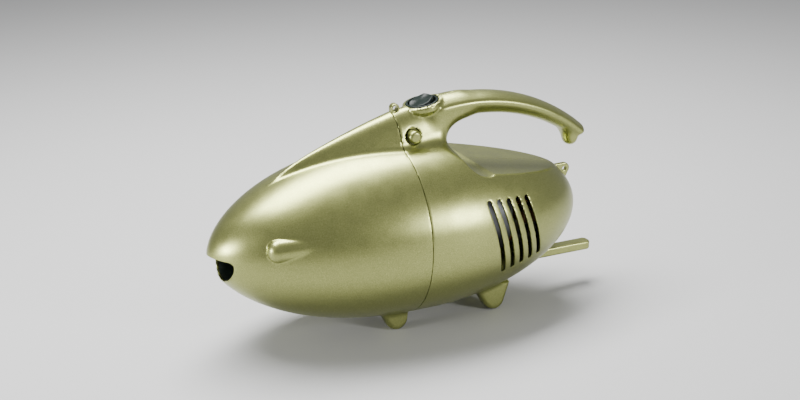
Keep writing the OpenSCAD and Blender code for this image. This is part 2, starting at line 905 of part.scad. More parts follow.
module brush_springs() {
    color(steel) for (s = [-1, 1], i = [0:3])
        translate([95, s * (25 + 2 * i), axis_z])
            rotate([-90, 0, 0]) rotate_extrude($fn = 32) translate([2, 0]) circle(r = 0.4, $fn = 16);
}

module rear_motor_mount() {
    color("#3a3a3a") difference() {
        union() {
            disc_x(18.2, 107, 115);
            disc_x(21, 111.1, 115);
        }
        disc_x(12.5, 106, 112);
    }
}

module capacitor() {
    color("#c9a23a") block([66, -4.5, axis_z - 54], [86, 4.5, axis_z - 41]);
    color(steel) for (x = [70, 82]) rod_z_lead(x);
}

// Short wire standing up from the capacitor
module rod_z_lead(x) {
    translate([x, 0, axis_z - 41]) cylinder(r = 0.5, h = 4.5, $fn = 24);
}

dust_cup();
inlet_duct();
flap_pin();
inlet_flap();
cup_seal();
filter_frame();
filter_cage();
filter_bag();
bulkhead();
motor_front_seal();
housing_left();
housing_right();
housing_screws();
tail_bar();
front_strap_lug();
rear_strap_lug();
cord_gland();
switch_body();
switch_rocker();
rocker_pin();
switch_terminals();
power_leads();
release_button();
latch_arm();
button_spring();
fan_housing();
diffuser();
impeller();
impeller_nut();
impeller_spacer();
motor_shaft();
front_bearing();
rear_bearing();
armature_core();
armature_windings();
commutator();
stator_core();
field_coils();
front_bracket();
rear_bracket();
motor_bolts();
brush_holders();
carbon_brushes();
brush_springs();
rear_motor_mount();
capacitor();
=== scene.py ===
import json
import math

import bpy
import numpy as np
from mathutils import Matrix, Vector


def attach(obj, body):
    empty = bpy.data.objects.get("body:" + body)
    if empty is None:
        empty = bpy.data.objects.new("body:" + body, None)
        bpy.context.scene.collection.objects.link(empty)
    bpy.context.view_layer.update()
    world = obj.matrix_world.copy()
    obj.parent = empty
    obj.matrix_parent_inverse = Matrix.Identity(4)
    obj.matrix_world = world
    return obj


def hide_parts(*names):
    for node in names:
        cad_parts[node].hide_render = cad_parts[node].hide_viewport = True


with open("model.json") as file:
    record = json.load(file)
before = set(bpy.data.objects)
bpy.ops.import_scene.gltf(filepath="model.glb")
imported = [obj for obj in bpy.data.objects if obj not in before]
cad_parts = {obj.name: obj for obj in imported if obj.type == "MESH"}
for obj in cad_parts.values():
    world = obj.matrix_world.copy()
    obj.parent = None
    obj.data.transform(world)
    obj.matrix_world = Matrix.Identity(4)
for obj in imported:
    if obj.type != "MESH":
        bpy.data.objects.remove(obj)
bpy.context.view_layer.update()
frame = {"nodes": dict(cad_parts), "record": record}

# Hand-held vacuum cleaner. The shells and the small outside pieces are drawn as distance fields
# in the CAD's own frame, in millimetres, and meshed here. The filter bag is a lofted sheet.
# Everything else is a CAD node with a finished material. X runs from nose to tail, Y across
# with the photo's side negative, and Z up.

MM = 0.001

# ---------- main dimensions, in millimetres ----------
# The body's curves are the CAD's. The joint's gap, the finger gap, the slots, the grip with its
# free end, the feet, the bar and the button follow the photo and differ a little from the CAD.
AXIS_Z = 84.5
BODY_R = 74.0
NOSE_LEN, NOSE_P, NOSE_Q = 179.0, 2.41, 1.63
TAIL_LEN, TAIL_P, TAIL_Q = 155.5, 1.94, 1.93
WALL = 2.5
SEAM_X = -16.5
SEAM_GAP = 0.45
RIDGE_X0, RIDGE_FADE_X, RIDGE_SINK = -126.0, -90.0, 13.0
RIDGE_ARC_X, RIDGE_ARC_Z, RIDGE_ARC_R = 157.5, -419.8, 628.8
RIDGE_FRONT_HALF_W, RIDGE_SEAM_HALF_W, ROOT_HALF_W = 2.0, 19.0, 15.5
ROOT_X1 = 48.0
GRIP_X, GRIP_Z, GRIP_R = 48.5, 12.0, 180.8
GRIP_A0, GRIP_A1 = math.radians(-12), math.radians(41.0)
GRIP_H_FRONT, GRIP_H_REAR = 21.8, 14.0
GRIP_HALF_W_FRONT, GRIP_HALF_W_REAR = 15.0, 12.5
GAP_X, GAP_Z, GAP_R = 47.2, 152.5, 19.0
SCOOP_Z0, SCOOP_SLOPE = 142.9, -0.168
SWITCH_X, SWITCH_Z, SWITCH_TILT = 9.0, 188.8, math.radians(10.8)
SWITCH_R, SWITCH_WELL_R, SWITCH_CAN_R, SWITCH_BORE_R = 13.8, 12.8, 12.6, 11.7
ROCKER_TILT, ROCKER_R, ROCKER_DISH_R = math.radians(12), 10.5, 17.0
BUTTON_X, BUTTON_Z, BUTTON_HOLE_R = -6.4, 165.6, 6.9
BUTTON_STEM_R, BUTTON_FACE_R, BUTTON_RIM_R, BUTTON_FACE_Y = 5.4, 3.9, 8, -21.8
FOOT_TOP, FOOT_Y, FOOT_HALF_W = 20.0, 22, 5.8
# x of each foot's front, sole and rear
FRONT_FOOT = (-41, -25, -11)
REAR_FOOT = (50.5, 69, 81.5)
SIDE_LUG_FRONT, SIDE_LUG_REAR = (-134.6, 42.6, 97.8), (-100, 49.8, 100.0)
SIDE_LUG_R, SIDE_LUG_SQUASH = 8.8, 0.92
HOOK_TOP, HOOK_TIP, HOOK_R = (150.5, 0, 150), (154.4, 0, 138.8), 6.4
SLOT_COUNT, SLOT_PITCH, SLOT_R = 5, 9.75, 2.1
SLOT_TOP, SLOT_TOP_DROP = (39, 115.9), 0.8
SLOT_FOOT, SLOT_FOOT_RISE = (54.8, 54.7), 1.5
SLOT_INNER_Y = 25
MOUTH_HALF_W, MOUTH_DEPTH, MOUTH_REAR_X = 24.9, 19.2, -140
# x and z of each screw in the far half
SCREWS = [(8, 22), (98, 34), (133, 66), (84, 179.5), (136, 161.5)]
SCREW_HOLE_R, SCREW_POST_R = 3.6, 5.4
SCREW_DEPTH, GRIP_SCREW_DEPTH, GRIP_SCREWS_Z = 14, 5, 150
GLAND_X, GLAND_HOLE_R = 118, 6.1
FRONT_EYE_X, FRONT_EYE_Z, FRONT_EYE_R = -16.15, 186.6, 2.25
REAR_EYE_X, REAR_EYE_Z, REAR_EYE_R = 149.7, 110.6, 2.0
BAR_X0, BAR_Z0, BAR_Z1 = 103, 29.2, 37.2
BAR_CORNER_X, BAR_CORNER_Y, BAR_CORNER_R = 176.3, 1.5, 4.2
BAG_END_X, BAG_END_R, BAG_TAPER = -71.6, 28.6, 17.6
BAG_END_T = 0.075
HEM_MAJOR_R, HEM_MINOR_R = 46.3, 0.9


# ---------- distance-field tools ----------

def lerp(a, b, t):
    return a + (b - a) * t


def step(a, b, v):
    """0 below a, 1 above b and smooth between."""
    t = np.clip((v - a) / (b - a), 0, 1)
    return t * t * (3 - 2 * t)


def smin(a, b, k):
    """Union whose corner is filled over about k."""
    h = np.maximum(k - np.abs(a - b), 0) / k
    return np.minimum(a, b) - h * h * k / 4


def smax(a, b, k):
    return -smin(-a, -b, k)


def ellipse(u, v, ru, rv, power=2.0):
    """Distance, near its edge, to a (super)ellipse with half-axes ru and rv."""
    au = np.abs(u / ru) + 1e-6
    av = np.abs(v / rv) + 1e-6
    f = au ** power + av ** power
    e = f ** (1 / power)
    slope = e ** (1 - power) * np.hypot(au ** (power - 1) / ru, av ** (power - 1) / rv)
    return (e - 1) / slope


def segment(p, a, b, r):
    """Distance to a rod with round ends."""
    a = np.array(a, float)
    ab = np.array(b, float) - a
    t = np.clip((p - a) @ ab / (ab @ ab), 0, 1)
    return np.linalg.norm(p - a - t[:, None] * ab, axis=1) - r


def slab(v, low, high):
    return np.maximum(low - v, v - high)


def rounded_box(p, centre, half, r):
    q = np.abs(p - np.array(centre)) - (np.array(half) - r)
    outside = np.linalg.norm(np.maximum(q, 0), axis=1)
    return outside + np.minimum(q.max(axis=1), 0) - r


def switch_frame(p):
    """Points in the switch's own frame: u along its seat, v across, w out of it."""
    dx = p[:, 0] - SWITCH_X
    dz = p[:, 2] - SWITCH_Z
    c, s = math.cos(SWITCH_TILT), math.sin(SWITCH_TILT)
    return c * dx + s * dz, p[:, 1], -s * dx + c * dz


def mesh_field(name, field, low, high, size):
    """Dual-contours field (distance in mm at (N, 3) points) inside a box, as a Blender object."""
    low = np.array(low, float) - 1.37 * size
    dims = np.ceil((np.array(high) + 1.37 * size - low) / size).astype(int) + 1
    block = 8
    centres = [low[i] + size * (np.arange(0, dims[i], block) + block / 2) for i in range(3)]
    grid = np.stack(np.meshgrid(*centres, indexing="ij"), -1).reshape(-1, 3)
    near = np.abs(field(grid)) < 1.5 * block * size
    near = near.reshape([len(c) for c in centres])
    keep = near.repeat(block, 0).repeat(block, 1).repeat(block, 2)[:dims[0], :dims[1], :dims[2]]
    # The last layer of a kept block needs its neighbour's first nodes
    for axis in range(3):
        moved = np.roll(keep, 1, axis)
        moved[(slice(None),) * axis + (0,)] = False
        keep = keep | moved
    idx = np.argwhere(keep)
    values = np.full(dims, 1e3, np.float32)
    for part in np.array_split(idx, max(1, len(idx) // 400000)):
        values[tuple(part.T)] = field(low + size * part)
    # Edges that cross the surface, along each axis
    starts, ways, flips = [], [], []
    for axis in range(3):
        a = [slice(None)] * 3
        b = [slice(None)] * 3
        a[axis] = slice(0, -1)
        b[axis] = slice(1, None)
        a, b = tuple(a), tuple(b)
        cross = (values[a] < 0) != (values[b] < 0)
        cross &= keep[a] & keep[b]
        found = np.argwhere(cross)
        starts.append(found)
        ways.append(np.full(len(found), axis))
        flips.append(values[tuple(found.T)] < 0)
    start, way, flip = np.concatenate(starts), np.concatenate(ways), np.concatenate(flips)
    unit = np.eye(3)[way]
    va = values[tuple(start.T)].astype(float)
    vb = values[tuple((start + unit.astype(int)).T)].astype(float)
    pa = low + size * start
    t = np.clip(va / (va - vb), 0.02, 0.98)
    hit = pa + size * unit * t[:, None]
    normal = gradient(field, hit)
    away = field(hit)
    along = (normal * unit).sum(1)
    hit -= unit * np.clip(away / np.where(np.abs(along) < 0.3, 1e9, along), -0.5, 0.5)[:, None] * 0.9
    # The four cells round each edge
    side = np.array([[1, 2], [2, 0], [0, 1]])[way]
    e1 = np.eye(3, dtype=int)[side[:, 0]]
    e2 = np.eye(3, dtype=int)[side[:, 1]]
    cells = np.stack([start, start - e1, start - e1 - e2, start - e2], 1)
    flat = np.ravel_multi_index(np.moveaxis(cells, -1, 0), dims, mode="clip")
    used, inverse = np.unique(flat, return_inverse=True)
    inverse = inverse.reshape(flat.shape)
    count = len(used)

    def gather(weights):
        total = np.zeros(count)
        for c in range(4):
            total += np.bincount(inverse[:, c], weights, count)
        return total

    number = gather(np.ones(len(hit)))
    mean = np.stack([gather(hit[:, i]) for i in range(3)], 1) / number[:, None]
    ata = np.zeros((count, 3, 3))
    for i in range(3):
        for j in range(i, 3):
            ata[:, i, j] = ata[:, j, i] = gather(normal[:, i] * normal[:, j])
    offset = (normal * hit).sum(1)
    atb = np.stack([gather(normal[:, i] * offset) for i in range(3)], 1)
    atb -= np.einsum("nij,nj->ni", ata, mean)
    soft = 0.04 * number[:, None, None] * np.eye(3)
    move = np.linalg.solve(ata + soft, atb[:, :, None])[:, :, 0]
    corner = low + size * np.stack(np.unravel_index(used, dims), 1)
    place = np.clip(mean + move, corner - 0.05 * size, corner + 1.05 * size)
    quads = np.where(flip[:, None], inverse, inverse[:, ::-1])
    return make_object(name, place * MM, quads)


def gradient(field, p, eps=0.04):
    base = field(p)
    g = np.stack([field(p + eps * e) - base for e in np.eye(3)], 1)
    return g / np.maximum(np.linalg.norm(g, axis=1), 1e-9)[:, None]


def make_object(name, points, faces, sharp=32):
    """Blender object from arrays of points (metres) and equal-sided faces."""
    sides = faces.shape[1]
    mesh = bpy.data.meshes.new(name)
    mesh.vertices.add(len(points))
    mesh.vertices.foreach_set("co", np.ascontiguousarray(points, np.float32).ravel())
    mesh.loops.add(faces.size)
    mesh.loops.foreach_set("vertex_index", np.ascontiguousarray(faces, np.int32).ravel())
    mesh.polygons.add(len(faces))
    mesh.polygons.foreach_set("loop_start", np.arange(0, faces.size, sides, dtype=np.int32))
    mesh.update(calc_edges=True)
    mesh.validate()
    mesh.shade_smooth()
    mesh.set_sharp_from_angle(angle=math.radians(sharp))
    obj = bpy.data.objects.new(name, mesh)
    bpy.context.scene.collection.objects.link(obj)
    return obj


# ---------- shapes of the body ----------

def body_radius(x):
    ahead = x < 0
    u = np.minimum(np.abs(x) / np.where(ahead, NOSE_LEN, TAIL_LEN), 1)
    return BODY_R * (1 - u ** np.where(ahead, NOSE_P, TAIL_P)) ** (1 / np.where(ahead, NOSE_Q, TAIL_Q))


def body(p):
    x = p[:, 0]
    rho = np.hypot(p[:, 1], p[:, 2] - AXIS_Z)
    ahead = x < 0
    a = np.where(ahead, NOSE_LEN, TAIL_LEN)
    pe = np.where(ahead, NOSE_P, TAIL_P)
    qe = np.where(ahead, NOSE_Q, TAIL_Q)
    u = np.abs(x) / a + 1e-9
    v = rho / BODY_R + 1e-9
    up, vq = u ** pe, v ** qe
    slope = np.hypot(pe * up / u / a, qe * vq / v / BODY_R)
    return (up + vq - 1) / np.maximum(slope, 3e-3)


def crest_z(x):
    ridge = RIDGE_ARC_Z + np.sqrt(RIDGE_ARC_R ** 2 - (np.minimum(x, SEAM_X) - RIDGE_ARC_X) ** 2)
    ridge = ridge - 9 * np.clip((RIDGE_FADE_X - x) / 45, 0, 1) ** 2
    t = np.clip((x - SEAM_X) / (ROOT_X1 - SEAM_X), 0, 1)
    return lerp(ridge, GRIP_Z + GRIP_R - 1.6, np.sin(t * math.pi / 2))


def ridge_half_width(x):
    front = lerp(RIDGE_FRONT_HALF_W, RIDGE_SEAM_HALF_W, (x - RIDGE_X0) / (SEAM_X - RIDGE_X0))
    rear = lerp(RIDGE_SEAM_HALF_W, ROOT_HALF_W, (x - SEAM_X) / (ROOT_X1 - SEAM_X))
    return np.maximum(np.where(x < SEAM_X, front, rear), 0.8)


def ridge(p):
    """Ridge on the cup and root of the handle: half-elliptic sections up to the crest line."""
    x = np.clip(p[:, 0], RIDGE_X0, ROOT_X1)
    zc = AXIS_Z + body_radius(x) - RIDGE_SINK
    d = ellipse(p[:, 1], p[:, 2] - zc, ridge_half_width(x), np.maximum(crest_z(x) - zc, 2))
    d = np.where(p[:, 2] < zc - 8, np.maximum(d, zc - 8 - p[:, 2]), d)
    d = smax(d, p[:, 0] - ROOT_X1 - 3, 14.0)
    return np.maximum(d, RIDGE_X0 - p[:, 0])


def main_form(p):
    """Body with ridge and root, which flow into each other."""
    fillet = lerp(2.5, 5.0, np.clip((p[:, 0] - RIDGE_X0) / 100, 0, 1)) + 6 * step(SEAM_X, 30, p[:, 0])
    return smin(body(p), ridge(p), fillet)


def seam(p):
    """Negative ahead of the joint between cup and housing, which leans forward near the top."""
    lean = 3.5 * np.clip((p[:, 2] - 150) / 36, 0, 1.3) ** 1.6
    return p[:, 0] - SEAM_X + lean


def foot(p, front_x, sole_x, rear_x):
    """Fin-shaped foot, mirrored to both sides: slanted front, steep rear and a rounded sole."""
    x, z = p[:, 0], p[:, 2]
    front_run = sole_x - 7 - front_x
    rear_run = rear_x - sole_x - 6
    front = (FOOT_TOP * (front_x - x) + front_run * (FOOT_TOP - z)) / math.hypot(FOOT_TOP, front_run)
    rear = (FOOT_TOP * (x - rear_x) + rear_run * (FOOT_TOP - z)) / math.hypot(FOOT_TOP, rear_run)
    profile = smax(smax(front, rear, 4.0), -z, 7.0)
    d = smax(profile, np.abs(np.abs(p[:, 1]) - FOOT_Y) - FOOT_HALF_W, 3.5)
    return np.maximum(d, z - FOOT_TOP - 4)


def finger_gap(p):
    """Negative in the space for the fingers and over the scoop behind it."""
    x, z = p[:, 0], p[:, 2]
    arc = np.hypot(x - GAP_X, z - GAP_Z) - GAP_R
    floor = (SCOOP_Z0 + SCOOP_SLOPE * x - z) / math.hypot(1, SCOOP_SLOPE)
    ceiling = z - GAP_Z - GAP_R
    rear = np.maximum(np.maximum(floor, ceiling), GAP_X - x)
    return np.minimum(arc, rear)


def grip(p):
    """Handle: arched bar, widest above the middle, with a crowned top and sides that draw in below."""
    dx, dz = p[:, 0] - GRIP_X, p[:, 2] - GRIP_Z
    angle = np.arctan2(dx, dz)
    rad = np.hypot(dx, dz)
    t = np.clip((angle - GRIP_A0) / (GRIP_A1 - GRIP_A0), 0, 1)
    h = lerp(GRIP_H_FRONT, GRIP_H_REAR, t) / 2
    w = lerp(GRIP_HALF_W_FRONT, GRIP_HALF_W_REAR, t ** 3)
    n = rad - (GRIP_R - h)
    y = np.abs(p[:, 1])
    top = n - h + 5.0 * (y / w) ** 2
    side = 0.90 * (y - w) + 0.44 * (h - 8.5 - n)
    under = -n - h + 2.0 * (y / w) ** 2
    d = smax(smax(top, side, 4.5), under, 8.0)
    d = smax(d, (GRIP_A0 - angle) * rad, 12.0)
    return smax(d, (angle - GRIP_A1) * rad - 0.1 * (n - h), 4.5)


def hook(p):
    """Lobe under the free end that keeps a wound cord in place."""
    q = p * np.array([1, 0.8, 1])
    return segment(q, HOOK_TOP, HOOK_TIP, HOOK_R)


def side_lug(p):
    """Bullet-shaped lug beside the nose, mirrored to both sides and a little taller than deep."""
    q = np.column_stack([p[:, 0], np.abs(p[:, 1]), p[:, 2] * SIDE_LUG_SQUASH])
    ends = [(x, y, z * SIDE_LUG_SQUASH) for x, y, z in (SIDE_LUG_FRONT, SIDE_LUG_REAR)]
    return segment(q, *ends, SIDE_LUG_R)


def switch_boss(p):
    u, v, w = switch_frame(p)
    cone = 0.75 * (np.hypot(u, v) - SWITCH_R - 2.7 - np.minimum(w + 4.5, 0))
    return smax(cone, slab(w, -14, 0), 1.6)


def cut_round(d, p, axis_xz, r, y0, y1):
    """Removes a hole along Y, with a small round at its edge."""
    hole = np.maximum(np.hypot(p[:, 0] - axis_xz[0], p[:, 2] - axis_xz[1]) - r, slab(p[:, 1], y0, y1))
    return smax(d, -hole, 0.9)


def slots(p):
    """Slanted exhaust slots through both sides."""
    q = p[:, [0, 2]]
    best = np.full(len(p), 1e3)
    for i in range(SLOT_COUNT):
        a = np.array([SLOT_TOP[0] + SLOT_PITCH * i, SLOT_TOP[1] - SLOT_TOP_DROP * i])
        ab = np.array([SLOT_FOOT[0] + SLOT_PITCH * i, SLOT_FOOT[1] + SLOT_FOOT_RISE * i]) - a
        t = np.clip((q - a) @ ab / (ab @ ab), 0, 1)
        best = np.minimum(best, np.linalg.norm(q - a - t[:, None] * ab, axis=1) - SLOT_R)
    return np.maximum(best, SLOT_INNER_Y - np.abs(p[:, 1]))


def mouth(p):
    """Opening in the nose: straight upper lip, and sides that bow in to a round lower lip."""
    y, z = p[:, 1], p[:, 2] - AXIS_Z
    bowl = ellipse(y, z + 1.0, MOUTH_HALF_W, MOUTH_DEPTH, 1.95)
    d = smax(bowl, z - 1.3, 4.0)
    return np.maximum(d, p[:, 0] - MOUTH_REAR_X)


def dust_cup_field(p):
    """Hollow cup with its lugs, feet and mouth, and a flange inside its rear edge."""
    outer = main_form(p)
    hollow = outer + WALL
    outer = smin(outer, side_lug(p), 0.7)
    outer = smin(outer, foot(p, *FRONT_FOOT), 4.0)
    rho = np.hypot(p[:, 1], p[:, 2] - AXIS_Z)
    flange = np.maximum(64.2 - rho, slab(p[:, 0], SEAM_X - 5.5, SEAM_X - 2.5))
    flange = np.maximum(flange, rho - 72)
    d = np.maximum(outer, -hollow)
    d = np.minimum(d, flange)
    d = smax(d, -mouth(p), 1.1)
    return smax(d, seam(p) + SEAM_GAP / 2, 0.7)


def housing_form(p):
    """Main form with the finger gap and the scoop behind it taken out."""
    d = main_form(p)
    edge = lerp(1.4, 14.0, step(143, 158, p[:, 2]))
    return smax(d, -finger_gap(p), edge)


def housing_field(p, side):
    """Half of the hollow housing, with side -1 for the photo's side and 1 for the far one."""
    form = housing_form(p)
    hollow = form + WALL
    outer = smin(form, grip(p), 9.0)
    outer = smin(outer, hook(p), 4.0)
    outer = smin(outer, switch_boss(p), 1.5)
    outer = smin(outer, foot(p, *REAR_FOOT), 4.0)
    bar_end = rounded_box(p, (100, 0, 33.2), (16, 5.8, 4.3), 1.5)
    outer = smin(outer, bar_end, 7.0)
    u, v, w = switch_frame(p)
    ring = np.maximum(np.hypot(u, v) - SWITCH_R - 2, slab(w, -10, 0))
    d = np.minimum(np.maximum(outer, -hollow), np.maximum(ring, outer))
    if side > 0:
        for x, z in SCREWS:
            deep = GRIP_SCREW_DEPTH if z > GRIP_SCREWS_Z else SCREW_DEPTH
            post = np.hypot(p[:, 0] - x, p[:, 2] - z) - SCREW_POST_R
            post = np.maximum(post, deep - 2 - p[:, 1])
            d = np.minimum(d, np.maximum(post, outer + 1))
            d = cut_round(d, p, (x, z), SCREW_HOLE_R, deep, 99)
        d = cut_round(d, p, (GLAND_X, AXIS_Z), GLAND_HOLE_R, 20, 99)
    else:
        d = cut_round(d, p, (BUTTON_X, BUTTON_Z), BUTTON_HOLE_R, -40, -6)
    d = smax(d, -slots(p), 0.9)
    seat = np.maximum(np.hypot(u, v) - SWITCH_R - 0.25, -1.3 - w)
    well = np.maximum(np.hypot(u, v) - SWITCH_WELL_R, -20 - w)
    well = np.where(w > -3, well, np.maximum(well, outer + 1.7))
    d = smax(d, -np.minimum(seat, well), 0.7)
    d = smax(d, -seam(p) + SEAM_GAP / 2, 0.7)
    return smax(d, 0.06 - side * p[:, 1], 0.25)


# ---------- materials ----------

def new_material(name):
    mat = bpy.data.materials.new(name)
    mat.use_nodes = True
    nodes, links = mat.node_tree.nodes, mat.node_tree.links
    return mat, nodes, links, nodes["Principled BSDF"]


def noise(nodes, links, scale, detail=3.0, rough=0.5, stretch=None):
    """Noise texture on object coordinates (metres), so it is fixed to the piece."""
    coords = nodes.new("ShaderNodeTexCoord")
    source = coords.outputs["Object"]
    if stretch:
        mapping = nodes.new("ShaderNodeMapping")
        mapping.inputs["Scale"].default_value = stretch
        links.new(source, mapping.inputs["Vector"])
        source = mapping.outputs["Vector"]
    tex = nodes.new("ShaderNodeTexNoise")
    tex.inputs["Scale"].default_value = scale
    tex.inputs["Detail"].default_value = detail
    tex.inputs["Roughness"].default_value = rough
    links.new(source, tex.inputs["Vector"])
    return tex.outputs["Fac"]


def ramp(nodes, links, source, stops):
    node = nodes.new("ShaderNodeValToRGB")
    links.new(source, node.inputs["Fac"])
    elements = node.color_ramp.elements
    elements[0].position, elements[0].color = stops[0][0], (*stops[0][1], 1)
    elements[1].position, elements[1].color = stops[-1][0], (*stops[-1][1], 1)
    for position, colour in stops[1:-1]:
        extra = elements.new(position)
        extra.color = (*colour, 1)
    return node.outputs["Color"]


def spread(nodes, links, source, low, high):
    """Maps a 0..1 value to low..high."""
    node = nodes.new("ShaderNodeMapRange")
    node.inputs["From Min"].default_value = 0.3
    node.inputs["From Max"].default_value = 0.7
    node.inputs["To Min"].default_value = low
    node.inputs["To Max"].default_value = high
    links.new(source, node.inputs["Value"])
    return node.outputs["Result"]


def bump(nodes, links, bsdf, source, strength, distance):
    node = nodes.new("ShaderNodeBump")
    node.inputs["Strength"].default_value = strength
    node.inputs["Distance"].default_value = distance
    links.new(source, node.inputs["Height"])
    links.new(node.outputs["Normal"], bsdf.inputs["Normal"])


def gold_paint():
    """Satin champagne-gold metallic paint: fine flake, slight orange peel, thin clear coat."""
    mat, nodes, links, bsdf = new_material("gold_paint")
    flake = noise(nodes, links, 2600, 2.0, 0.6)
    colour = ramp(nodes, links, flake, [(0.30, (0.182, 0.202, 0.062)), (0.52, (0.300, 0.321, 0.112)),
                                        (0.72, (0.500, 0.500, 0.198))])
    links.new(colour, bsdf.inputs["Base Color"])
    bsdf.inputs["Metallic"].default_value = 0.96
    cloud = noise(nodes, links, 90, 3.0)
    links.new(spread(nodes, links, cloud, 0.29, 0.34), bsdf.inputs["Roughness"])
    bsdf.inputs["Coat Weight"].default_value = 0.05
    bsdf.inputs["Coat Roughness"].default_value = 0.22
    bump(nodes, links, bsdf, noise(nodes, links, 1500, 3.0, 0.6), 0.05, 0.0004)
    return mat


def plastic(name, colour, rough, grain=900, depth=0.08, spec=0.5):
    mat, nodes, links, bsdf = new_material(name)
    dark = tuple(c * 0.8 for c in colour)
    light = tuple(min(1, c * 1.15) for c in colour)
    links.new(ramp(nodes, links, noise(nodes, links, 60), [(0.35, dark), (0.65, light)]),
              bsdf.inputs["Base Color"])
    fine = noise(nodes, links, grain, 3.0, 0.6)
    links.new(spread(nodes, links, fine, rough - 0.04, rough + 0.06), bsdf.inputs["Roughness"])
    bsdf.inputs["Specular IOR Level"].default_value = spec
    bump(nodes, links, bsdf, fine, depth, 0.0003)
    return mat


def metal(name, colour, rough, stretch=(1, 1, 1), grain=500):
    """Machined or pressed metal, with fine lines where stretch is uneven."""
    mat, nodes, links, bsdf = new_material(name)
    lines = noise(nodes, links, grain, 4.0, 0.6, stretch)
    dark = tuple(c * 0.72 for c in colour)
    links.new(ramp(nodes, links, lines, [(0.3, dark), (0.65, colour)]), bsdf.inputs["Base Color"])
    bsdf.inputs["Metallic"].default_value = 1.0
    links.new(spread(nodes, links, lines, rough - 0.07, rough + 0.1), bsdf.inputs["Roughness"])
    bump(nodes, links, bsdf, lines, 0.06, 0.0002)
    return mat


def banded(name, colour_a, colour_b, pitch, metallic, rough, axis="X"):
    """Fine layers one pitch apart (metres), such as stacked sheet or wound wire."""
    mat, nodes, links, bsdf = new_material(name)
    coords = nodes.new("ShaderNodeTexCoord")
    wave = nodes.new("ShaderNodeTexWave")
    wave.bands_direction = axis
    wave.inputs["Scale"].default_value = 0.314 / pitch
    wave.inputs["Distortion"].default_value = 0.3
    links.new(coords.outputs["Object"], wave.inputs["Vector"])
    links.new(ramp(nodes, links, wave.outputs["Fac"], [(0.2, colour_a), (0.8, colour_b)]),
              bsdf.inputs["Base Color"])
    bsdf.inputs["Metallic"].default_value = metallic
    bsdf.inputs["Roughness"].default_value = rough
    bump(nodes, links, bsdf, wave.outputs["Fac"], 0.4, pitch * 0.3)
    return mat


def cloth():
    """Off-white woven filter cloth, with threads 0.8 mm apart and a little dust in it."""
    mat, nodes, links, bsdf = new_material("filter_cloth")
    coords = nodes.new("ShaderNodeTexCoord")
    threads = []
    for axis in ("X", "Z"):
        wave = nodes.new("ShaderNodeTexWave")
        wave.bands_direction = axis
        wave.inputs["Scale"].default_value = 0.314 / 0.0008
        wave.inputs["Distortion"].default_value = 0.8
        links.new(coords.outputs["Object"], wave.inputs["Vector"])
        threads.append(wave.outputs["Fac"])
    weave = nodes.new("ShaderNodeMath")
    weave.operation = "MULTIPLY"
    links.new(threads[0], weave.inputs[0])
    links.new(threads[1], weave.inputs[1])
    dust = ramp(nodes, links, noise(nodes, links, 25, 4.0), [(0.35, (0.60, 0.56, 0.46)),
                                                             (0.65, (0.80, 0.77, 0.68))])
    links.new(dust, bsdf.inputs["Base Color"])
    bsdf.inputs["Roughness"].default_value = 0.92
    bsdf.inputs["Sheen Weight"].default_value = 0.25
    bump(nodes, links, bsdf, weave.outputs[0], 0.6, 0.0004)
    return mat


MATERIALS = {
    "gold_shell": gold_paint(),
    "black_plastic": plastic("black_plastic", (0.006, 0.011, 0.009), 0.34, spec=0.12),
    "filter_plastic": plastic("filter_plastic", (0.66, 0.62, 0.50), 0.48),
    "filter_cloth": cloth(),
    "rubber": plastic("rubber", (0.018, 0.018, 0.018), 0.68, 700, 0.2, 0.3),
    "flap_rubber": plastic("flap_rubber", (0.11, 0.055, 0.035), 0.62, 700, 0.2, 0.3),
    "steel": metal("steel", (0.60, 0.61, 0.62), 0.26, (1, 12, 12)),
    "fan_alloy": metal("fan_alloy", (0.72, 0.73, 0.74), 0.36, (1, 1, 1), 300),
    "iron_laminations": banded("iron_laminations", (0.12, 0.125, 0.13), (0.34, 0.35, 0.37),
                               0.0010, 0.9, 0.45),
    "copper_wire": banded("copper_wire", (0.28, 0.09, 0.025), (0.68, 0.29, 0.11),
                          0.0009, 0.9, 0.32, "Y"),
    "brass": metal("brass", (0.72, 0.52, 0.20), 0.28, (1, 1, 8)),
    "carbon": plastic("carbon", (0.02, 0.02, 0.022), 0.6, 1500, 0.2),
    "insulation": plastic("insulation", (0.16, 0.075, 0.03), 0.45),
    "capacitor_case": plastic("capacitor_case", (0.62, 0.36, 0.035), 0.35),
    "lead_insulation": plastic("lead_insulation", (0.05, 0.11, 0.32), 0.42),
}


def finish(piece, body, slot, *nodes):
    """Gives a new piece its body and its slot's material, and hides the CAD nodes that it stands for."""
    piece.data.materials.clear()
    piece.data.materials.append(MATERIALS[slot])
    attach(piece, body)
    if nodes:
        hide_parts(*nodes)
    return piece


def paint_cad_nodes():
    """Every CAD node takes its record slot's material, but duct and bulkhead are a duller black."""
    duct = plastic("duct_black", (0.006, 0.012, 0.008), 0.62, spec=0.2)
    for sub in frame["record"]["subparts"]:
        obj = frame["nodes"][sub["node"]]
        obj.data.materials.clear()
        matt = sub["node"] in ("inlet_duct", "bulkhead")
        obj.data.materials.append(duct if matt else MATERIALS[sub["material_slot"]])


# ---------- pieces ----------

